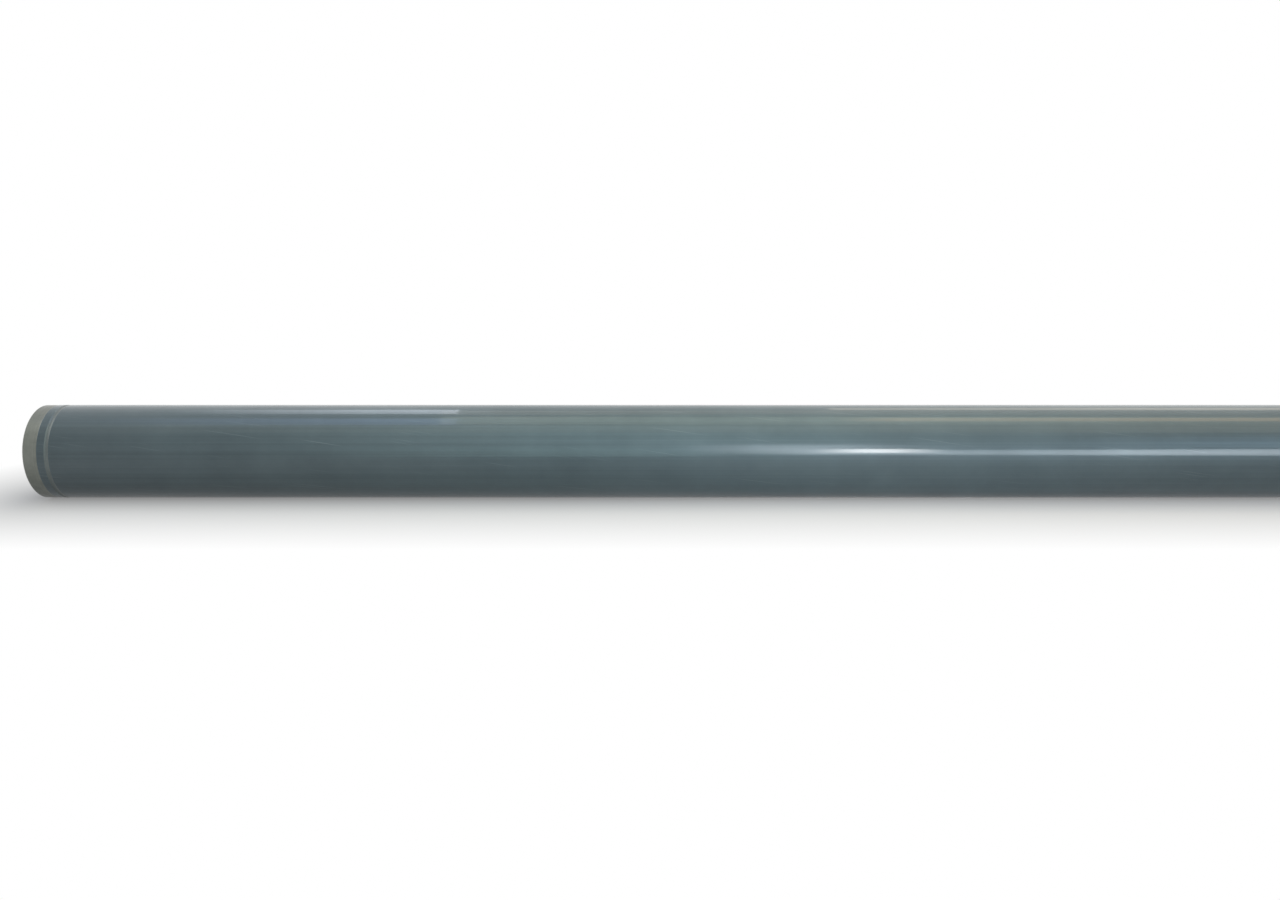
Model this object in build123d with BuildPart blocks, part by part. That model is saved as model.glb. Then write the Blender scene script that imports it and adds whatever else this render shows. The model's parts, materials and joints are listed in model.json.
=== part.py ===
"""Seamless steel cylinder tube, drawn outside and honed inside, lying along X.

The origin is where the tube's axis meets the face of the machined end, +X runs along the
tube to the plain cut end, and +Z is up. All sizes are in millimetres and degrees.
"""

import os

from build123d import *

# Stock
bore_diameter = 80.0
wall = 10.0
length = 2000.0

# Plain edges
outer_edge_break = 1.0
cut_end_bore_break = 1.0

# Machined end, with distances along the axis from its face
lead_in_length = 5.0
lead_in_angle = 15.0
land_length = 15.0
land_skim = 0.2
land_run_out = 0.6
groove_centre = 25.0
groove_width = 4.5
groove_depth = 0.5

bore_radius = bore_diameter / 2
outer_radius = bore_radius + wall
land_radius = outer_radius - land_skim
groove_start = groove_centre - groove_width / 2
groove_end = groove_centre + groove_width / 2

with BuildPart() as tube:
    # The wall in section above the axis, turned once round it
    with BuildSketch(Plane.XZ) as wall_section:
        with Locations((length / 2, bore_radius + wall / 2)):
            Rectangle(length, wall)
    revolve(axis=Axis.X)

    # Land skimmed bright at the machined end, with a short cone where the tool runs out
    with BuildSketch(Plane.XZ) as skimmed_ring:
        with BuildLine():
            Polyline(
                (0, land_radius),
                (land_length - land_run_out, land_radius),
                (land_length, outer_radius),
                (0, outer_radius),
                close=True,
            )
        make_face()
    revolve(axis=Axis.X, mode=Mode.SUBTRACT)

    # Shallow ring groove with a round bottom, behind the land
    with BuildSketch(Plane.XZ) as groove_section:
        with BuildLine():
            ThreePointArc(
                (groove_start, outer_radius),
                (groove_centre, outer_radius - groove_depth),
                (groove_end, outer_radius),
            )
            Line((groove_end, outer_radius), (groove_start, outer_radius))
        make_face()
    revolve(axis=Axis.X, mode=Mode.SUBTRACT)

    # The two round edges of each end face, from the bore outwards
    end_faces = tube.faces().filter_by(GeomType.PLANE).sort_by(Axis.X)
    machined_bore_edge, machined_outer_edge = end_faces[0].edges().sort_by(SortBy.RADIUS)
    cut_bore_edge, cut_outer_edge = end_faces[-1].edges().sort_by(SortBy.RADIUS)
    bore_wall = tube.faces().filter_by(GeomType.CYLINDER).sort_by(lambda face: face.radius)[0]

    chamfer([machined_outer_edge, cut_outer_edge], outer_edge_break)
    chamfer(cut_bore_edge, cut_end_bore_break)

    # Long slim cone that leads a seal into the bore
    chamfer(machined_bore_edge, lead_in_length, angle=lead_in_angle, reference=bore_wall)

tube.part.label = "tube"

os.makedirs("parts", exist_ok=True)
export_step(tube.part, "parts/tube.step")
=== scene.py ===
"""Looks of a seamless steel cylinder tube lying along X, with its soft studio light and camera.

Everything is in metres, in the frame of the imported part: the origin is the centre of the
machined end's face, +X runs along the tube to its plain cut end, and +Z is up.
"""

import json
import logging
import math
from dataclasses import dataclass, field
from enum import Enum

import bpy
from bpy.types import AreaLight, ID, Material, Mesh, Node, NodeSocket, NodeTree, Object
from mathutils import Matrix, Vector


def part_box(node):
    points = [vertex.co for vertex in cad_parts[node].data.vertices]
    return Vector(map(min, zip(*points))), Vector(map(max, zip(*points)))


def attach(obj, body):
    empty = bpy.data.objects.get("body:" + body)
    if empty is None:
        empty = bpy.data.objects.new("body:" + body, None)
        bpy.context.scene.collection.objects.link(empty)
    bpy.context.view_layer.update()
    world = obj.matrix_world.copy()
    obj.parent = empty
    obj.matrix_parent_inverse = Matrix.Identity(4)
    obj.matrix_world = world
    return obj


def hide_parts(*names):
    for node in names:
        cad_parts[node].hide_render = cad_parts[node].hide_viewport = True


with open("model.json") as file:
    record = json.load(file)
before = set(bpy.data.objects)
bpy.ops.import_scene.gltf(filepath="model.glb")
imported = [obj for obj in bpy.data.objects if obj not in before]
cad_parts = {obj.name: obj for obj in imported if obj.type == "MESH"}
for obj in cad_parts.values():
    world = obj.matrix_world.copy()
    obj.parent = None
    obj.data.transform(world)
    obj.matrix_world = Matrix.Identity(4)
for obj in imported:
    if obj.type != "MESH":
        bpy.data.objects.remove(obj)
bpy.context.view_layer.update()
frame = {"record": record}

LOG = logging.getLogger("cylinder_tube")
MM = 0.001
# Noise runs from 0 to 1 about 0.5, and nearly all of it lies between these two values
NOISE_LOW = 0.3
NOISE_HIGH = 0.7
# A pattern reaches its dark and its light colour a little inside that
TONE_LOW = 0.34
TONE_HIGH = 0.66
# A lamp's fade has at least this share of its length, so that its range is never empty
LEAST_FADE = 0.001


class Zone(Enum):
    """How a stretch of the tube's surface was made, which decides its finish."""

    DRAWN = 0
    TURNED = 1
    GROOVED = 2
    HONED = 3
    SAWN = 4


# Helpers

def linear(hex_colour: str) -> tuple[float, float, float, float]:
    """Turns an sRGB hex colour into the linear colour that shaders take.

    Args:
        hex_colour: Colour such as "#5f6b71".

    Returns:
        Linear red, green, blue and an alpha of 1.
    """
    channels = [int(hex_colour[i:i + 2], 16) / 255 for i in (1, 3, 5)]
    red, green, blue = (
        c / 12.92 if c <= 0.04045 else ((c + 0.055) / 1.055) ** 2.4 for c in channels
    )
    return red, green, blue, 1.0


def add_node(tree: NodeTree, kind: str, inputs: dict | None = None, **settings) -> Node:
    """Adds a node to a tree with its settings, values and links.

    Args:
        tree: Shader or geometry tree that gets the node.
        kind: The node's type name.
        inputs: Socket name or number to a value, or to the output socket to link.
        **settings: The node's own properties, such as operation.

    Returns:
        The new node.
    """
    node = tree.nodes.new(kind)
    for name, value in settings.items():
        setattr(node, name, value)
    for key, value in (inputs or {}).items():
        if isinstance(value, NodeSocket):
            tree.links.new(value, node.inputs[key])
        else:
            node.inputs[key].default_value = value
    return node


def new_material(name: str) -> tuple[Material, NodeTree]:
    """Makes an empty node material.

    Args:
        name: The finish's name.

    Returns:
        The material and its cleared node tree.
    """
    material = bpy.data.materials.new(name)
    material.use_nodes = True
    material.node_tree.nodes.clear()
    return material, material.node_tree


def add_object(name: str, data: ID) -> Object:
    """Makes an object and puts it in the scene.

    Args:
        name: The object's name.
        data: Its mesh, camera or light.

    Returns:
        The new object, at the origin.
    """
    thing = bpy.data.objects.new(name, data)
    bpy.context.scene.collection.objects.link(thing)
    return thing


def softbox(name: str, width: float, height: float, brightness: float) -> Object:
    """Makes a softbox, which the camera doesn't see.

    Args:
        name: What the lamp is for.
        width: Its size one way.
        height: Its size the other way.
        brightness: 1 is as bright as the white background.

    Returns:
        The lamp's object, at the origin.
    """
    light = bpy.data.lights.new(name, "AREA")
    light.shape = "RECTANGLE"
    light.size = width
    light.size_y = height
    light.energy = brightness * math.pi * width * height
    lamp = add_object(name, light)
    lamp.visible_camera = False
    return lamp


def along_and_turn(tree: NodeTree, place: NodeSocket) -> tuple[NodeSocket, NodeSocket]:
    """Splits a place on the tube into how far along it and how far round it that is.

    Args:
        tree: The material's node tree.
        place: Where on the tube, in metres.

    Returns:
        The distance along the axis, and the angle round it, which jumps only at the underside.
    """
    parts = add_node(tree, "ShaderNodeSeparateXYZ", {"Vector": place}).outputs
    turn = add_node(
        tree, "ShaderNodeMath", {0: parts["Y"], 1: parts["Z"]}, operation="ARCTAN2"
    ).outputs[0]
    return parts["X"], turn


# Finishes

@dataclass(frozen=True)
class DrawnSkin:
    """Outside of the tube: cold-drawn low-carbon steel with its thin phosphate skin, oiled.

    The tube was pulled through a die with a phosphate and soap film, then straightened
    between crossed rolls and oiled. The eye gets an even blue-grey skin, half matt and half
    metal, with faint lines along the tube where the die burnished it, soft clouds, a few
    handling scratches and a thin wet film over it all.
    """

    dark_hex: str = "#53636a"
    light_hex: str = "#62737a"
    scratch_hex: str = "#7d8a8e"
    metallic: float = 0.14
    burnished_metallic: float = 0.26
    # The drawing lines' values between which the skin goes from plain to burnished
    burnish_low: float = 0.35
    burnish_high: float = 0.65
    roughness: float = 0.38
    roughness_swing: float = 0.05
    specular_level: float = 0.1
    film_weight: float = 0.75
    film_swing: float = 0.12
    film_roughness: float = 0.06
    # Die lines are about 0.3 mm apart on the real tube, drawn coarser so that they show
    die_line_pitch: float = 1.6 * MM
    die_line_length: float = 800 * MM
    die_line_depth: float = 0.02 * MM
    die_line_strength: float = 0.3
    # Broader streaks, where the die's lubricant ran thin
    streak_pitch: float = 9 * MM
    streak_length: float = 1400 * MM
    streak_share: float = 0.45
    # Soft clouds, where the phosphate took unevenly
    cloud_size: float = 70 * MM
    cloud_share: float = 0.5
    # Wiping marks in the oil, longer along the tube than round it
    wipe_size: float = 45 * MM
    wipe_length: float = 260 * MM
    # The crossed straightening rolls leave two faint bands that wind round the tube
    roll_lead: float = 180 * MM
    roll_starts: int = 2
    roll_share: float = 0.03
    scratch_breadth: float = 0.8 * MM
    scratch_length: float = 90 * MM
    scratch_slant: float = math.radians(9)
    # Only the rare peaks of a noise are scratches, and they let some of the skin through
    scratch_low: float = 0.84
    scratch_high: float = 0.90
    scratch_cover: float = 0.45
    outer_radius: float = 50 * MM
    # Shifts the pattern so that its darker stretches lie about where the photograph has them
    pattern_shift: tuple[float, float, float] = (-0.19, -1.52, 0.26)

    def stretched(
        self, tree: NodeTree, place: NodeSocket, length: float, breadth: float,
        detail: float = 3.0,
    ) -> NodeSocket:
        """Noise whose grains are long along the tube.

        Args:
            tree: The material's node tree.
            place: Where on the tube, in metres.
            length: A grain's length along the tube.
            breadth: A grain's breadth round it.
            detail: How many finer layers the noise has.

        Returns:
            The noise, about 0.5 on average.
        """
        scaled = add_node(
            tree, "ShaderNodeMapping",
            {"Vector": place, "Scale": (1 / length, 1 / breadth, 1 / breadth)},
        ).outputs["Vector"]
        return add_node(
            tree, "ShaderNodeTexNoise",
            {"Vector": scaled, "Scale": 1.0, "Detail": detail, "Roughness": 0.6},
        ).outputs[0]

    def roll_bands(self, tree: NodeTree, along: NodeSocket, turn: NodeSocket) -> NodeSocket:
        """Faint bands that wind round the tube, from 0 to 1.

        Args:
            tree: The material's node tree.
            along: Place along the tube, in metres.
            turn: Angle round the tube's axis.

        Returns:
            The bands.
        """
        phase = add_node(
            tree, "ShaderNodeMath", {0: along, 1: math.tau / self.roll_lead, 2: turn},
            operation="MULTIPLY_ADD",
        ).outputs[0]
        starts = add_node(
            tree, "ShaderNodeMath", {0: phase, 1: float(self.roll_starts)}, operation="MULTIPLY"
        ).outputs[0]
        wave = add_node(tree, "ShaderNodeMath", {0: starts}, operation="SINE").outputs[0]
        return add_node(
            tree, "ShaderNodeMapRange", {"Value": wave, "From Min": -1.0, "From Max": 1.0}
        ).outputs[0]

    def scratches(self, tree: NodeTree, along: NodeSocket, turn: NodeSocket) -> NodeSocket:
        """A few long fine handling scratches, 1 where there is one.

        Args:
            tree: The material's node tree.
            along: Place along the tube, in metres.
            turn: Angle round the tube's axis.

        Returns:
            The scratches.
        """
        around = add_node(
            tree, "ShaderNodeMath", {0: turn, 1: self.outer_radius}, operation="MULTIPLY"
        ).outputs[0]
        unrolled = add_node(tree, "ShaderNodeCombineXYZ", {"X": along, "Y": around}).outputs[0]
        slanted = add_node(
            tree, "ShaderNodeMapping",
            {"Vector": unrolled, "Rotation": (0.0, 0.0, -self.scratch_slant),
             "Scale": (self.scratch_length, self.scratch_breadth, 1.0)},
            vector_type="TEXTURE",
        ).outputs["Vector"]
        marks = add_node(
            tree, "ShaderNodeTexNoise", {"Vector": slanted, "Scale": 1.0, "Detail": 0.0},
            noise_dimensions="2D",
        ).outputs[0]
        return add_node(
            tree, "ShaderNodeMapRange",
            {"Value": marks, "From Min": self.scratch_low, "From Max": self.scratch_high,
             "To Max": self.scratch_cover},
        ).outputs[0]

    def build(self) -> Material:
        """Makes the material.

        Returns:
            The finished material.
        """
        material, tree = new_material("drawn_steel_skin")
        on_tube = add_node(tree, "ShaderNodeTexCoord").outputs["Object"]
        place = add_node(
            tree, "ShaderNodeMapping", {"Vector": on_tube, "Location": self.pattern_shift}
        ).outputs["Vector"]
        lines = self.stretched(tree, place, self.die_line_length, self.die_line_pitch)
        streaks = self.stretched(tree, place, self.streak_length, self.streak_pitch, detail=2.0)
        clouds = add_node(
            tree, "ShaderNodeTexNoise",
            {"Vector": place, "Scale": 1 / self.cloud_size, "Detail": 4.0, "Roughness": 0.6},
        ).outputs[0]
        wipes = self.stretched(tree, place, self.wipe_length, self.wipe_size)
        along, turn = along_and_turn(tree, on_tube)
        scratches = self.scratches(tree, along, turn)
        rolls = self.roll_bands(tree, along, turn)

        drawing = add_node(
            tree, "ShaderNodeMix", {0: self.streak_share, 2: lines, 3: streaks}, data_type="FLOAT"
        ).outputs[0]
        blend = drawing
        for share, pattern in ((self.cloud_share, clouds), (self.roll_share, rolls)):
            blend = add_node(
                tree, "ShaderNodeMix", {0: share, 2: blend, 3: pattern}, data_type="FLOAT"
            ).outputs[0]
        tone = add_node(
            tree, "ShaderNodeMapRange",
            {"Value": blend, "From Min": TONE_LOW, "From Max": TONE_HIGH},
        ).outputs[0]
        skin = add_node(
            tree, "ShaderNodeMix",
            {0: tone, 6: linear(self.dark_hex), 7: linear(self.light_hex)}, data_type="RGBA",
        ).outputs[2]
        colour = add_node(
            tree, "ShaderNodeMix",
            {0: scratches, 6: skin, 7: linear(self.scratch_hex)}, data_type="RGBA",
        ).outputs[2]
        burnish = add_node(
            tree, "ShaderNodeMapRange",
            {"Value": drawing, "From Min": self.burnish_low, "From Max": self.burnish_high,
             "To Min": self.metallic, "To Max": self.burnished_metallic},
        ).outputs[0]
        metallic = add_node(
            tree, "ShaderNodeMath", {0: burnish, 1: scratches}, operation="MAXIMUM"
        ).outputs[0]
        roughness = add_node(
            tree, "ShaderNodeMapRange",
            {"Value": blend, "From Min": NOISE_LOW, "From Max": NOISE_HIGH,
             "To Min": self.roughness + self.roughness_swing,
             "To Max": self.roughness - self.roughness_swing},
        ).outputs[0]
        film = add_node(
            tree, "ShaderNodeMapRange",
            {"Value": wipes, "From Min": NOISE_LOW, "From Max": NOISE_HIGH,
             "To Min": self.film_weight - self.film_swing,
             "To Max": self.film_weight + self.film_swing},
        ).outputs[0]
        bump = add_node(
            tree, "ShaderNodeBump",
            {"Strength": self.die_line_strength, "Distance": self.die_line_depth, "Height": lines},
        ).outputs[0]
        shader = add_node(
            tree, "ShaderNodeBsdfPrincipled",
            {
                "Base Color": colour,
                "Metallic": metallic,
                "Roughness": roughness,
                "Specular IOR Level": self.specular_level,
                "Coat Weight": film,
                "Coat Roughness": self.film_roughness,
                "Normal": bump,
            },
        ).outputs[0]
        add_node(tree, "ShaderNodeOutputMaterial", {"Surface": shader})
        return material


@dataclass(frozen=True)
class CutSteel:
    """Bare steel as a cutting tool left it: what turned, honed and sawn surfaces share.

    Attributes:
        name: The material's name.
        dark_hex: Colour in the hollows of its pattern.
        light_hex: Colour on the crests.
        metallic: How much of the surface is bare metal.
        roughness: Roughness midway between dark and light.
        roughness_swing: How much rougher the dark parts are, and how much smoother the light.
        mark_depth: Depth of the tool's marks.
        mark_strength: Share of that depth that shows.
        film_weight: How much oil or rust preventive lies on it.
        film_roughness: Roughness of that film.
    """

    name: str
    dark_hex: str
    light_hex: str
    metallic: float
    roughness: float
    roughness_swing: float
    mark_depth: float
    mark_strength: float
    film_weight: float = 0.0
    film_roughness: float = 0.0

    def shade(self, tree: NodeTree, pattern: NodeSocket, marks: NodeSocket) -> None:
        """Makes the shader from the surface's pattern and the height of its marks.

        Args:
            tree: The material's node tree.
            pattern: From dark to light, about 0.5 on average.
            marks: Height of the tool's marks, from 0 to 1.
        """
        tone = add_node(
            tree, "ShaderNodeMapRange",
            {"Value": pattern, "From Min": TONE_LOW, "From Max": TONE_HIGH},
        ).outputs[0]
        colour = add_node(
            tree, "ShaderNodeMix",
            {0: tone, 6: linear(self.dark_hex), 7: linear(self.light_hex)}, data_type="RGBA",
        ).outputs[2]
        roughness = add_node(
            tree, "ShaderNodeMapRange",
            {"Value": pattern, "From Min": NOISE_LOW, "From Max": NOISE_HIGH,
             "To Min": self.roughness + self.roughness_swing,
             "To Max": self.roughness - self.roughness_swing},
        ).outputs[0]
        bump = add_node(
            tree, "ShaderNodeBump",
            {"Strength": self.mark_strength, "Distance": self.mark_depth, "Height": marks},
        ).outputs[0]
        shader = add_node(
            tree, "ShaderNodeBsdfPrincipled",
            {
                "Base Color": colour,
                "Metallic": self.metallic,
                "Roughness": roughness,
                "Coat Weight": self.film_weight,
                "Coat Roughness": self.film_roughness,
                "Normal": bump,
            },
        ).outputs[0]
        add_node(tree, "ShaderNodeOutputMaterial", {"Surface": shader})


@dataclass(frozen=True)
class TurnedSteel(CutSteel):
    """Land, ring groove, lead-in, machined face and edge breaks: bare steel cut in a lathe.

    The tool cut through the skin and left fine rings round the axis. The eye gets a lighter
    and warmer grey than the skin, with the rings' fine sparkle, dulled by rust preventive.
    """

    name: str = "turned_steel"
    dark_hex: str = "#646862"
    light_hex: str = "#7f827b"
    metallic: float = 0.75
    roughness: float = 0.40
    roughness_swing: float = 0.08
    mark_depth: float = 0.03 * MM
    mark_strength: float = 0.4
    film_weight: float = 0.3
    film_roughness: float = 0.2
    # Feed marks are about 0.15 mm apart on the real tube, drawn coarser so that they show
    feed: float = 0.7 * MM
    stain_size: float = 14 * MM
    stain_share: float = 0.38

    def build(self) -> Material:
        """Makes the material.

        Returns:
            The finished material.
        """
        material, tree = new_material(self.name)
        place = add_node(tree, "ShaderNodeTexCoord").outputs["Object"]
        parts = add_node(tree, "ShaderNodeSeparateXYZ", {"Vector": place}).outputs
        flat = add_node(tree, "ShaderNodeCombineXYZ", {"Y": parts["Y"], "Z": parts["Z"]}).outputs[0]
        radius = add_node(tree, "ShaderNodeVectorMath", {0: flat}, operation="LENGTH").outputs["Value"]
        # Along the axis on the land and outwards on the face, so that both show rings
        travel = add_node(tree, "ShaderNodeMath", {0: parts["X"], 1: radius}, operation="ADD").outputs[0]
        ring_place = add_node(tree, "ShaderNodeCombineXYZ", {"X": travel}).outputs[0]
        rings = add_node(
            tree, "ShaderNodeTexNoise",
            {"Vector": ring_place, "Scale": 1 / self.feed, "Detail": 2.0, "Roughness": 0.6},
        ).outputs[0]
        stains = add_node(
            tree, "ShaderNodeTexNoise",
            {"Vector": place, "Scale": 1 / self.stain_size, "Detail": 4.0, "Roughness": 0.65},
        ).outputs[0]
        mottled = add_node(
            tree, "ShaderNodeMix", {0: self.stain_share, 2: rings, 3: stains}, data_type="FLOAT"
        ).outputs[0]
        self.shade(tree, mottled, rings)
        return material


@dataclass(frozen=True)
class HonedBore(CutSteel):
    """The bore: steel honed with stones that turn and stroke at once, then oiled.

    The two strokes cross at about 45 degrees and hold the oil. The eye gets a bright, even,
    slightly silky grey with a fine cross-hatch.
    """

    name: str = "honed_steel_bore"
    dark_hex: str = "#979b9c"
    light_hex: str = "#bcbfbf"
    metallic: float = 0.85
    roughness: float = 0.40
    roughness_swing: float = 0.06
    mark_depth: float = 0.01 * MM
    mark_strength: float = 0.3
    film_weight: float = 0.4
    film_roughness: float = 0.1
    # Honing lines are about 0.1 mm apart on the real bore, drawn coarser so that they show
    line_pitch: float = 0.8 * MM
    hatch_angle: float = math.radians(22.5)
    down_stroke_share: float = 0.5
    bore_radius: float = 40 * MM

    def hatch(
        self, tree: NodeTree, along: NodeSocket, around: NodeSocket, angle: float
    ) -> NodeSocket:
        """One of the two sets of honing lines.

        Args:
            tree: The material's node tree.
            along: Place along the bore, in metres.
            around: Place round the bore, in metres of arc.
            angle: How far the lines lean from a ring round the bore.

        Returns:
            Line noise, about 0.5 on average.
        """
        travel = add_node(
            tree, "ShaderNodeMath", {0: around, 1: math.tan(angle), 2: along},
            operation="MULTIPLY_ADD",
        ).outputs[0]
        seat = add_node(tree, "ShaderNodeCombineXYZ", {"X": travel}).outputs[0]
        return add_node(
            tree, "ShaderNodeTexNoise",
            {"Vector": seat, "Scale": 1 / self.line_pitch, "Detail": 2.0, "Roughness": 0.7},
        ).outputs[0]

    def build(self) -> Material:
        """Makes the material.

        Returns:
            The finished material.
        """
        material, tree = new_material(self.name)
        place = add_node(tree, "ShaderNodeTexCoord").outputs["Object"]
        along, turn = along_and_turn(tree, place)
        around = add_node(
            tree, "ShaderNodeMath", {0: turn, 1: self.bore_radius}, operation="MULTIPLY"
        ).outputs[0]
        up_stroke = self.hatch(tree, along, around, self.hatch_angle)
        down_stroke = self.hatch(tree, along, around, -self.hatch_angle)
        crossed = add_node(
            tree, "ShaderNodeMix",
            {0: self.down_stroke_share, 2: up_stroke, 3: down_stroke}, data_type="FLOAT",
        ).outputs[0]
        self.shade(tree, crossed, crossed)
        return material


@dataclass(frozen=True)
class SawnFace(CutSteel):
    """The plain cut end: steel cut with a cold saw.

    The blade's teeth left long shallow curves across the wall. The eye gets a dull mid grey
    with straight-looking, slightly uneven lines.
    """

    name: str = "sawn_steel_face"
    dark_hex: str = "#666a68"
    light_hex: str = "#868a87"
    metallic: float = 0.8
    roughness: float = 0.44
    roughness_swing: float = 0.08
    mark_depth: float = 0.05 * MM
    mark_strength: float = 0.5
    # Tooth marks about 1 mm apart, on arcs as wide as the saw's blade
    tooth_pitch: float = 1.2 * MM
    blade_radius: float = 160 * MM

    def build(self) -> Material:
        """Makes the material.

        Returns:
            The finished material.
        """
        material, tree = new_material(self.name)
        place = add_node(tree, "ShaderNodeTexCoord").outputs["Object"]
        flat = add_node(
            tree, "ShaderNodeVectorMath", {0: place, 1: (0.0, 1.0, 1.0)}, operation="MULTIPLY"
        ).outputs["Vector"]
        hub = (0.0, self.blade_radius, self.blade_radius)
        from_hub = add_node(
            tree, "ShaderNodeVectorMath", {0: flat, 1: hub}, operation="DISTANCE"
        ).outputs["Value"]
        arc_place = add_node(tree, "ShaderNodeCombineXYZ", {"X": from_hub}).outputs[0]
        marks = add_node(
            tree, "ShaderNodeTexNoise",
            {"Vector": arc_place, "Scale": 1 / self.tooth_pitch, "Detail": 3.0, "Roughness": 0.6},
        ).outputs[0]
        self.shade(tree, marks, marks)
        return material


# The tube

@dataclass(frozen=True)
class Corner:
    """One corner of the tube's section.

    Attributes:
        along: Distance from the machined end's face.
        radius: Distance from the axis.
        zone: How the surface from this corner to the next was made.
    """

    along: float
    radius: float
    zone: Zone


@dataclass
class CylinderTube:
    """The tube: a section of its wall turned once round the axis.

    The outer radius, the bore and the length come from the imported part.
    """

    outer_radius: float
    bore_radius: float
    length: float
    edge_break: float = 1.0 * MM
    lead_in_length: float = 5.0 * MM
    lead_in_angle: float = math.radians(15.0)
    land_length: float = 15.0 * MM
    land_skim: float = 0.2 * MM
    land_run_out: float = 0.6 * MM
    groove_centre: float = 25.0 * MM
    groove_width: float = 4.5 * MM
    groove_depth: float = 0.5 * MM
    groove_steps: int = 14
    # No cut edge is perfectly sharp, and this small round catches the light
    edge_round: float = 0.15 * MM
    # A round takes at most this share of the straight stretch beside it
    round_share: float = 0.4
    # One step of rounding for so much turn
    round_step_angle: float = math.radians(25.0)
    # Rings beside a corner keep its shading off the long plain faces
    guard: float = 0.3 * MM
    # A stretch shorter than this many guards has no room for rings of its own
    least_guards: int = 4
    longest_ring: float = 50.0 * MM
    segments: int = 256
    # Points this close, where the turn closes, become one
    seam: float = 0.001 * MM
    finishes: dict[Zone, Material] = field(default_factory=dict)

    @classmethod
    def from_frame(cls) -> "CylinderTube":
        """Takes the tube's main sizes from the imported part's box and mounts.

        Returns:
            The tube, with no finishes yet.
        """
        low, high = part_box("tube")
        radii = {m["name"]: m["dims"].get("r_mm") for m in frame["record"]["mounts"]}
        return cls(
            outer_radius=radii["outside_wall"] * MM,
            bore_radius=radii["bore"] * MM,
            length=high.x - low.x,
        )

    def groove_corners(self) -> list[Corner]:
        """Points of the ring groove's round bottom, from its far edge to its near edge.

        Returns:
            Corners along one arc, turned surface all the way.
        """
        half = self.groove_width / 2
        arc_radius = (half ** 2 + self.groove_depth ** 2) / (2 * self.groove_depth)
        half_angle = math.asin(half / arc_radius)
        arc_centre = self.outer_radius - self.groove_depth + arc_radius
        corners = []
        for step in range(self.groove_steps):
            angle = half_angle * (1 - 2 * step / self.groove_steps)
            along = self.groove_centre + arc_radius * math.sin(angle)
            corners.append(Corner(along, arc_centre - arc_radius * math.cos(angle), Zone.GROOVED))
        return corners

    def corners(self) -> list[Corner]:
        """The section's corners, through the bore to the cut end and back along the outside.

        Returns:
            Corners of the closed section.
        """
        end, outer, bore, edge = self.length, self.outer_radius, self.bore_radius, self.edge_break
        land = outer - self.land_skim
        lead_in = bore + self.lead_in_length * math.tan(self.lead_in_angle)
        groove_start = self.groove_centre - self.groove_width / 2
        return [
            Corner(0.0, lead_in, Zone.TURNED),
            Corner(self.lead_in_length, bore, Zone.HONED),
            Corner(end - edge, bore, Zone.TURNED),
            Corner(end, bore + edge, Zone.SAWN),
            Corner(end, outer - edge, Zone.TURNED),
            Corner(end - edge, outer, Zone.DRAWN),
            *self.groove_corners(),
            Corner(groove_start, outer, Zone.DRAWN),
            Corner(self.land_length, outer, Zone.TURNED),
            Corner(self.land_length - self.land_run_out, land, Zone.TURNED),
            Corner(edge, land, Zone.TURNED),
            Corner(0.0, land - edge, Zone.TURNED),
        ]

    def rounded(self, corners: list[Corner]) -> list[Corner]:
        """Rounds each corner a little and adds rings on the long straight stretches.

        Args:
            corners: The closed section's corners.

        Returns:
            Points of the closed section, in the same order.
        """
        points: list[Corner] = []
        count = len(corners)
        spots = [Vector((c.along, c.radius)) for c in corners]
        arcs = []
        for i, spot in enumerate(spots):
            back = spots[i - 1] - spot
            ahead = spots[(i + 1) % count] - spot
            turn = math.pi - back.angle(ahead)
            room = self.round_share * min(back.length, ahead.length)
            cut = min(self.edge_round * math.tan(turn / 2), room)
            start = spot + back.normalized() * cut
            finish = spot + ahead.normalized() * cut
            steps = max(1, round(turn / self.round_step_angle))
            arcs.append((start, spot, finish, steps))
        for i, corner in enumerate(corners):
            start, spot, finish, steps = arcs[i]
            before = corners[i - 1].zone
            for step in range(steps + 1):
                share = step / steps
                bend = start.lerp(spot, share).lerp(spot.lerp(finish, share), share)
                zone = before if share < 0.5 else corner.zone
                points.append(Corner(bend.x, bend.y, zone))
            stretch = arcs[(i + 1) % count][0] - finish
            points += self.rings(finish, stretch, corner.zone)
        return points

    def rings(self, start: Vector, stretch: Vector, zone: Zone) -> list[Corner]:
        """Rings between the two ends of a straight stretch of the section.

        Args:
            start: Where the stretch starts.
            stretch: From its start to its end.
            zone: How the stretch was made.

        Returns:
            The guard rings at both ends and the even rings between them.
        """
        if stretch.length < self.least_guards * self.guard:
            return []
        way = stretch.normalized()
        inner = stretch.length - 2 * self.guard
        spans = max(1, math.ceil(inner / self.longest_ring))
        distances = [self.guard + inner * i / spans for i in range(spans + 1)]
        return [Corner(*(start + way * d), zone) for d in distances]

    def section_mesh(self) -> Mesh:
        """The section as a mesh of points in the XZ plane, each with its zone.

        Returns:
            Mesh with one point for each ring of the tube.
        """
        points = self.rounded(self.corners())
        mesh = bpy.data.meshes.new("tube_section")
        mesh.from_pydata([(p.along, 0.0, p.radius) for p in points], [], [])
        zones = mesh.attributes.new("zone", "INT", "POINT")
        zones.data.foreach_set("value", [p.zone.value for p in points])
        return mesh

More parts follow.
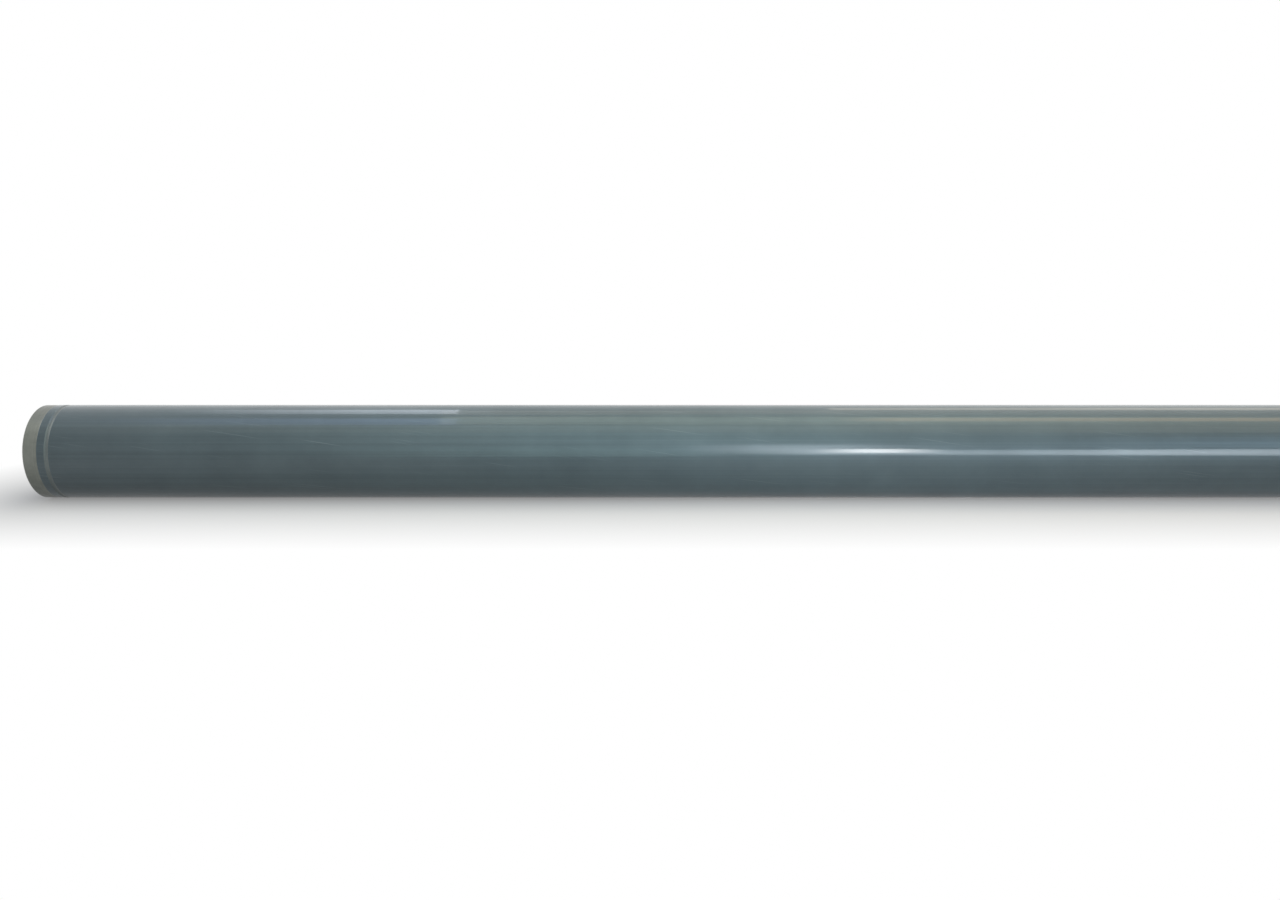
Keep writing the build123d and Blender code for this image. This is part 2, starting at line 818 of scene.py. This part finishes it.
    def turning_tree(self) -> NodeTree:
        """Builds the node tree that turns a section round the X axis.

        Returns:
            Geometry tree with the inputs Section, Segments, Seam and one for each finish.
        """
        tree = bpy.data.node_groups.new("turn_section", "GeometryNodeTree")
        face = tree.interface
        kinds = {"Section": "Geometry", "Segments": "Int", "Seam": "Float"}
        kinds |= {zone.name: "Material" for zone in Zone}
        for name, kind in kinds.items():
            face.new_socket(name, in_out="INPUT", socket_type="NodeSocket" + kind)
        face.new_socket("Tube", in_out="OUTPUT", socket_type="NodeSocketGeometry")
        given = add_node(tree, "NodeGroupInput").outputs

        count = add_node(
            tree, "GeometryNodeAttributeDomainSize", {0: given["Section"]}, component="MESH"
        ).outputs["Point Count"]
        rings = add_node(tree, "ShaderNodeMath", {0: count, 1: 1.0}, operation="ADD").outputs[0]
        seats = add_node(
            tree, "ShaderNodeMath", {0: given["Segments"], 1: 1.0}, operation="ADD"
        ).outputs[0]
        sheet = add_node(
            tree, "GeometryNodeMeshGrid", {"Vertices X": rings, "Vertices Y": seats}
        ).outputs["Mesh"]

        index = add_node(tree, "GeometryNodeInputIndex").outputs[0]
        ring = add_node(
            tree, "FunctionNodeIntegerMath", {0: index, 1: seats}, operation="DIVIDE_FLOOR"
        ).outputs[0]
        ring_wrapped = add_node(
            tree, "FunctionNodeIntegerMath", {0: ring, 1: count}, operation="MODULO"
        ).outputs[0]
        seat = add_node(
            tree, "FunctionNodeIntegerMath", {0: index, 1: seats}, operation="MODULO"
        ).outputs[0]
        turn_share = add_node(
            tree, "ShaderNodeMath", {0: seat, 1: given["Segments"]}, operation="DIVIDE"
        ).outputs[0]
        angle = add_node(
            tree, "ShaderNodeMath", {0: turn_share, 1: math.tau}, operation="MULTIPLY"
        ).outputs[0]
        position = add_node(tree, "GeometryNodeInputPosition").outputs[0]
        spot = add_node(
            tree, "GeometryNodeSampleIndex",
            {"Geometry": given["Section"], "Value": position, "Index": ring_wrapped},
            data_type="FLOAT_VECTOR", domain="POINT",
        ).outputs[0]
        turned = add_node(
            tree, "ShaderNodeVectorRotate", {"Vector": spot, "Angle": angle}, rotation_type="X_AXIS"
        ).outputs[0]
        wall = add_node(
            tree, "GeometryNodeSetPosition", {"Geometry": sheet, "Position": turned}
        ).outputs[0]

        strip = add_node(
            tree, "FunctionNodeIntegerMath", {0: index, 1: given["Segments"]},
            operation="DIVIDE_FLOOR",
        ).outputs[0]
        zone_read = add_node(
            tree, "GeometryNodeInputNamedAttribute", {"Name": "zone"}, data_type="INT"
        ).outputs[0]
        zone_here = add_node(
            tree, "GeometryNodeSampleIndex",
            {"Geometry": given["Section"], "Value": zone_read, "Index": strip},
            data_type="INT", domain="POINT",
        ).outputs[0]
        marked = add_node(
            tree, "GeometryNodeStoreNamedAttribute",
            {"Geometry": wall, "Name": "zone", "Value": zone_here}, data_type="INT", domain="FACE",
        ).outputs[0]
        closed = add_node(
            tree, "GeometryNodeMergeByDistance", {"Geometry": marked, "Distance": given["Seam"]}
        ).outputs[0]
        smooth = add_node(tree, "GeometryNodeSetShadeSmooth", {"Geometry": closed}).outputs[0]
        solid = add_node(tree, "GeometryNodeRealizeInstances", {"Geometry": smooth}).outputs[0]
        # Every face starts as drawn skin, and the other zones are picked out of it
        for zone in Zone:
            inputs = {"Geometry": solid, "Material": given[zone.name]}
            if zone is not Zone.DRAWN:
                inputs["Selection"] = add_node(
                    tree, "FunctionNodeCompare", {2: zone_read, 3: zone.value},
                    data_type="INT", operation="EQUAL",
                ).outputs[0]
            solid = add_node(tree, "GeometryNodeSetMaterial", inputs).outputs[0]
        add_node(tree, "NodeGroupOutput", {"Tube": solid})
        return tree

    def build(self) -> Object:
        """Turns the section into the tube's finished mesh.

        Returns:
            The tube's object, at the origin, with its materials.
        """
        blank = add_object("tube_blank", self.section_mesh())
        tree = self.turning_tree()
        modifier = blank.modifiers.new("turning", "NODES")
        modifier.node_group = tree
        sockets = {s.name: s.identifier for s in tree.interface.items_tree if s.in_out == "INPUT"}
        modifier[sockets["Segments"]] = self.segments
        modifier[sockets["Seam"]] = self.seam
        for zone in Zone:
            modifier[sockets[zone.name]] = self.finishes[zone]
        graph = bpy.context.evaluated_depsgraph_get()
        mesh = bpy.data.meshes.new_from_object(blank.evaluated_get(graph), depsgraph=graph)
        bpy.data.objects.remove(blank)
        mesh.name = "cylinder_tube"
        # The node that makes the sheet leaves an empty first slot, which no face uses
        if mesh.materials[0] is None:
            mesh.materials.pop(index=0)
        tube = add_object("cylinder_tube", mesh)
        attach(tube, "root")
        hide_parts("tube")
        return tube


# Camera and light

@dataclass(frozen=True)
class PhotoCamera:
    """The camera of the photograph, level along the tube and looking slightly down."""

    station: float = 0.640
    distance: float = 1.15
    elevation: float = math.radians(15.0)
    lens_mm: float = 29.9
    sensor_mm: float = 36.0
    aim_above_axis: float = 1.3 * MM

    def place(self) -> Vector:
        """Where the lens stands.

        Returns:
            The lens's place.
        """
        back = self.distance * math.cos(self.elevation)
        return Vector((self.station, -back, self.distance * math.sin(self.elevation)))

    def build(self) -> Object:
        """Makes the camera and makes it the scene's own.

        Returns:
            The camera's object.
        """
        data = bpy.data.cameras.new("photo_camera")
        data.lens = self.lens_mm
        data.sensor_width = self.sensor_mm
        camera = add_object("photo_camera", data)
        camera.location = self.place()
        aim = Vector((self.station, 0.0, self.aim_above_axis)) - camera.location
        camera.rotation_euler = aim.to_track_quat("-Z", "Y").to_euler()
        bpy.context.scene.camera = camera
        return camera

    def mirrored(self, station: float, height: float, radius: float, reach: float) -> Vector:
        """Where the camera looks by way of the tube's mirror-like film.

        Args:
            station: Where on the tube, from its machined end.
            height: How far above its centre line as seen, as a share of its radius.
            radius: The tube's outer radius.
            reach: How far from the axis the mirrored point lies.

        Returns:
            The mirrored point.
        """
        slope = height * radius / math.sqrt(self.distance ** 2 - radius ** 2)
        lift = math.asin(slope * self.distance / (radius * math.hypot(1, slope))) - math.atan(slope)
        angle = self.elevation + lift
        normal = Vector((0.0, -math.cos(angle), math.sin(angle)))
        spot = Vector((station, 0.0, 0.0)) + normal * radius
        sight = self.place() - spot
        ray = 2 * sight.dot(normal) * normal - sight
        return spot + ray * (reach / math.hypot(ray.y, ray.z))


@dataclass(frozen=True)
class SoftLamp:
    """A softbox or a long strip light, hung where the camera sees it mirrored on the tube.

    Attributes:
        name: What the lamp is for.
        first: Station on the tube where its mirror image starts.
        last: Station where the image ends.
        height: The image's height above the centre line, as a share of the radius.
        breadth: The lamp's breadth across its length.
        brightness: 1 is as bright as the white background.
        fade_in: Share of its length over which it grows bright from its first end.
        fade_out: Share of its length over which it grows dim to its last end.
        tint: Colour of its light.
        reach: Distance from the tube's axis.
        grid: Whole angle of the cone that its grid lets the light into, 0 with no grid.
    """

    name: str
    first: float
    last: float
    height: float
    breadth: float
    brightness: float
    fade_in: float = 0.0
    fade_out: float = 0.0
    tint: str = "#ffffff"
    reach: float = 1.0
    grid: float = 0.0

    def shade(self, data: AreaLight) -> None:
        """Makes the lamp's ends fade, as a graded diffuser does.

        Args:
            data: The lamp's own data, which gets the nodes.
        """
        data.use_nodes = True
        tree = data.node_tree
        tree.nodes.clear()
        spot = add_node(tree, "ShaderNodeNewGeometry").outputs["Parametric"]
        along = add_node(tree, "ShaderNodeSeparateXYZ", {0: spot}).outputs["X"]
        rise = add_node(
            tree, "ShaderNodeMapRange", {"Value": along, "From Max": max(self.fade_in, LEAST_FADE)}
        ).outputs[0]
        fall = add_node(
            tree, "ShaderNodeMapRange",
            {"Value": along, "From Min": 1.0, "From Max": 1.0 - max(self.fade_out, LEAST_FADE)},
        ).outputs[0]
        strength = add_node(tree, "ShaderNodeMath", {0: rise, 1: fall}, operation="MULTIPLY").outputs[0]
        light = add_node(tree, "ShaderNodeEmission", {"Strength": strength}).outputs[0]
        add_node(tree, "ShaderNodeOutputLight", {"Surface": light})

    def build(self, camera: PhotoCamera, radius: float) -> Object:
        """Makes the lamp.

        Args:
            camera: The camera whose view decides where the lamp hangs.
            radius: The tube's outer radius.

        Returns:
            The lamp's object.
        """
        start = camera.mirrored(self.first, self.height, radius, self.reach)
        end = camera.mirrored(self.last, self.height, radius, self.reach)
        lamp = softbox(self.name, (end - start).length, self.breadth, self.brightness)
        data = lamp.data
        data.color = linear(self.tint)[:3]
        middle = (start + end) / 2
        aim = Vector((middle.x, 0.0, 0.0))
        if self.grid:
            # A grid gathers light along its middle, so the lamp faces the spot that mirrors it
            half = self.grid / 2
            data.spread = self.grid
            data.energy *= (math.tan(half) - half) / math.tan(half)
            aim.x = (self.first + self.last) / 2
        self.shade(data)
        facing = (aim - middle).normalized()
        side = Vector((1.0, 0.0, 0.0))
        side = (side - side.dot(facing) * facing).normalized()
        axes = Matrix((side, facing.cross(side) * -1, -facing)).transposed()
        lamp.matrix_world = Matrix.Translation(middle) @ axes.to_4x4()
        return lamp


# Whole angles of the cones that the lamps' grids let light into
TIGHT = math.radians(38)
NARROW = math.radians(50)
WIDE = math.radians(100)
# Each lamp is named for what its mirror image does on the tube. Those for the left and the
# middle are cool, and those for the upper right are warm. A row starts with the name, first
# and last station, height, breadth and brightness
LAMPS = (
    SoftLamp("overhead_softbox", 0.43, 1.50, 0.67, 0.45, 1.35, fade_out=0.6, tint="#f6fde2"),
    SoftLamp("rear_softbox", 0.43, 1.30, 0.83, 0.34, 0.60, fade_out=0.7, tint="#fff3dc"),
    SoftLamp("front_high_softbox", -0.10, 1.50, 0.50, 0.45, 0.6, fade_in=0.5, tint="#fff7d4"),
    SoftLamp(
        "front_softbox", 0.20, 1.00, 0.32, 1.1, 1.38, fade_in=0.5, fade_out=0.5,
        tint="#d8fcff", grid=WIDE,
    ),
    SoftLamp(
        "middle_fill", 0.24, 0.91, -0.02, 0.42, 2.2, fade_in=0.6, fade_out=0.5,
        tint="#d4ffff", grid=NARROW,
    ),
    SoftLamp(
        "front_glow", 0.68, 0.94, 0.045, 0.43, 4.8, fade_in=0.35, fade_out=0.35,
        tint="#eef6ff", grid=TIGHT,
    ),
    SoftLamp(
        "right_fill", 1.00, 1.56, 0.18, 0.75, 1.65, fade_in=0.55,
        tint="#acdcff", reach=1.1, grid=TIGHT,
    ),
    SoftLamp("left_streak", 0.14, 0.448, 0.852, 0.34, 3.3, fade_in=1.0, tint="#eaf2ff"),
    SoftLamp("left_second_streak", 0.05, 0.448, 0.64, 0.36, 1.75, fade_in=0.9, tint="#b4ccff"),
    SoftLamp(
        "centre_streak", 0.76, 1.20, -0.030, 0.22, 4.9, fade_in=0.15, fade_out=0.35,
        tint="#eaf6ff", grid=TIGHT,
    ),
    SoftLamp(
        "right_streak", 1.02, 1.50, -0.026, 0.27, 8.2, fade_in=0.28, tint="#eaf6ff", grid=TIGHT
    ),
    SoftLamp(
        "centre_glint", 0.82, 0.955, 0.006, 0.17, 15.0, fade_in=0.4, fade_out=0.4, grid=TIGHT
    ),
    SoftLamp("upper_right_streak", 0.84, 1.50, 0.91, 0.22, 1.1, tint="#fff2dc"),
    SoftLamp("top_right_streak", 0.84, 1.50, 0.682, 0.20, 1.9, fade_in=0.1, tint="#ffd49c"),
)


@dataclass(frozen=True)
class EndLamp:
    """A softbox that faces one end of the tube, for its face and the mouth of its bore.

    It hangs high, so that a look along the tube doesn't show it mirrored in the oiled top.

    Attributes:
        name: What the lamp is for.
        station: Where it hangs along the tube's axis.
        lift: How far its middle is above the axis.
        width: Its breadth across the axis.
        height: Its height.
        brightness: 1 is as bright as the white background.
    """

    name: str
    station: float
    lift: float = 0.9
    width: float = 1.0
    height: float = 0.7
    brightness: float = 1.1

    def build(self, end: Vector) -> Object:
        """Makes the lamp.

        Args:
            end: Centre of the tube's end that it faces.

        Returns:
            The lamp's object.
        """
        lamp = softbox(self.name, self.width, self.height, self.brightness)
        place = Vector((self.station, 0.0, self.lift))
        turn = (end - place).to_track_quat("-Z", "Y")
        lamp.matrix_world = Matrix.Translation(place) @ turn.to_matrix().to_4x4()
        return lamp


@dataclass
class Studio:
    """Pale floor with a painted shadow round the tube, white surroundings and soft lamps.

    Attributes:
        camera: The camera whose view decides where the lamps hang.
        tube_radius: The tube's outer radius, which sets the floor's level.
        tube_length: The tube's length.
        lamps: The lamps that the camera sees mirrored on the tube.
        floor_half: Half of the floor's side.
        floor_hex: Colour of the bare floor, seen in the painted shadow round the tube, with the real
            shadow on it.
        ambient: Strength of the even light from all round.
        floor_glow: How white the floor looks right under the tube, where the painted shadow is deepest.
        painted_shadow_reach: Distance from the tube at which the floor is quite white.
        glow_power: Under 1, the whiteness comes back faster near the tube than far from it.
        end_distance: How far beyond each end its lamp hangs.
    """

    camera: PhotoCamera
    tube_radius: float
    tube_length: float
    lamps: tuple[SoftLamp, ...] = LAMPS
    floor_half: float = 40.0
    floor_hex: str = "#bcbcbc"
    ambient: float = 0.05
    floor_glow: float = 0.04
    painted_shadow_reach: float = 0.17
    glow_power: float = 0.6
    end_distance: float = 1.0

    def seen(self, tree: NodeTree) -> NodeSocket:
        """Tells the camera's view, and what metal and glass show of it, from plain light.

        Args:
            tree: The node tree that asks.

        Returns:
            1 for what is seen, else 0.
        """
        path = add_node(tree, "ShaderNodeLightPath").outputs
        mirror = add_node(
            tree, "ShaderNodeMath",
            {0: path["Is Glossy Ray"], 1: path["Is Transmission Ray"]}, operation="MAXIMUM",
        ).outputs[0]
        return add_node(
            tree, "ShaderNodeMath", {0: path["Is Camera Ray"], 1: mirror}, operation="MAXIMUM"
        ).outputs[0]

    def build_world(self) -> None:
        """Makes the surroundings: white to look at, and a dim even light on the tube."""
        world = bpy.data.worlds.new("surroundings")
        world.use_nodes = True
        tree = world.node_tree
        tree.nodes.clear()
        light = add_node(
            tree, "ShaderNodeBackground", {"Color": linear("#ffffff"), "Strength": self.ambient}
        ).outputs[0]
        white = add_node(
            tree, "ShaderNodeBackground", {"Color": linear("#ffffff"), "Strength": 1.0}
        ).outputs[0]
        mixed = add_node(
            tree, "ShaderNodeMixShader", {0: self.seen(tree), 1: light, 2: white}
        ).outputs[0]
        add_node(tree, "ShaderNodeOutputWorld", {"Surface": mixed})
        bpy.context.scene.world = world

    def build_floor(self) -> Object:
        """Makes the floor that the tube lies on: white away from the tube, with a painted shadow round
        it.

        Returns:
            The floor's object.
        """
        material, tree = new_material("pale_floor")
        matt = add_node(tree, "ShaderNodeBsdfDiffuse", {"Color": linear(self.floor_hex)}).outputs[0]
        white = add_node(tree, "ShaderNodeEmission").outputs[0]
        place = add_node(tree, "ShaderNodeTexCoord").outputs["Object"]
        parts = add_node(tree, "ShaderNodeSeparateXYZ", {"Vector": place}).outputs
        # Distance from the tube as seen from above, past its ends or beside it
        nearest = add_node(
            tree, "ShaderNodeClamp", {"Value": parts["X"], "Min": 0.0, "Max": self.tube_length}
        ).outputs[0]
        beyond = add_node(
            tree, "ShaderNodeMath", {0: parts["X"], 1: nearest}, operation="SUBTRACT"
        ).outputs[0]
        gap = add_node(tree, "ShaderNodeCombineXYZ", {"X": beyond, "Y": parts["Y"]}).outputs[0]
        away = add_node(tree, "ShaderNodeVectorMath", {0: gap}, operation="LENGTH").outputs["Value"]
        # Painted shadow: near the tube the white share falls, and the grey floor shows round it
        near = add_node(
            tree, "ShaderNodeMapRange",
            {"Value": away, "From Max": self.painted_shadow_reach, "To Min": self.floor_glow},
        ).outputs[0]
        glow = add_node(
            tree, "ShaderNodeMath", {0: near, 1: self.glow_power}, operation="POWER"
        ).outputs[0]
        share = add_node(
            tree, "ShaderNodeMath", {0: self.seen(tree), 1: glow}, operation="MULTIPLY"
        ).outputs[0]
        mixed = add_node(tree, "ShaderNodeMixShader", {0: share, 1: matt, 2: white}).outputs[0]
        add_node(tree, "ShaderNodeOutputMaterial", {"Surface": mixed})
        half = self.floor_half
        level = -self.tube_radius
        mesh = bpy.data.meshes.new("floor")
        mesh.from_pydata(
            [(x, y, level) for x, y in ((-half, -half), (half, -half), (half, half), (-half, half))],
            [], [(0, 1, 2, 3)],
        )
        mesh.materials.append(material)
        floor = add_object("floor", mesh)
        return floor

    def build(self) -> None:
        """Makes the whole studio."""
        self.build_world()
        self.build_floor()
        for lamp in self.lamps:
            lamp.build(self.camera, self.tube_radius)
            LOG.info("lamp %s hung", lamp.name)
        near_end = Vector((0.0, 0.0, 0.0))
        far_end = Vector((self.tube_length, 0.0, 0.0))
        EndLamp("machined_end_softbox", near_end.x - self.end_distance).build(near_end)
        EndLamp("cut_end_softbox", far_end.x + self.end_distance).build(far_end)


def main() -> None:
    """Builds the tube, its camera and its studio, in that order."""
    logging.basicConfig(level=logging.INFO, format="%(name)s: %(message)s")
    camera = PhotoCamera()
    camera.build()
    tube = CylinderTube.from_frame()
    tube.finishes = {
        Zone.DRAWN: DrawnSkin(outer_radius=tube.outer_radius).build(),
        Zone.TURNED: TurnedSteel().build(),
        # Darker colours in the ring groove: painted shade in the recess
        Zone.GROOVED: TurnedSteel("grooved_steel_painted_shade", "#565e5e", "#6a7271").build(),
        Zone.HONED: HonedBore(bore_radius=tube.bore_radius).build(),
        Zone.SAWN: SawnFace().build(),
    }
    piece = tube.build()
    LOG.info("%s: %d faces", piece.name, len(piece.data.polygons))
    Studio(camera, tube.outer_radius, tube.length).build()
    bpy.context.scene.view_settings.view_transform = "Standard"


if __name__ == "__main__":
    main()
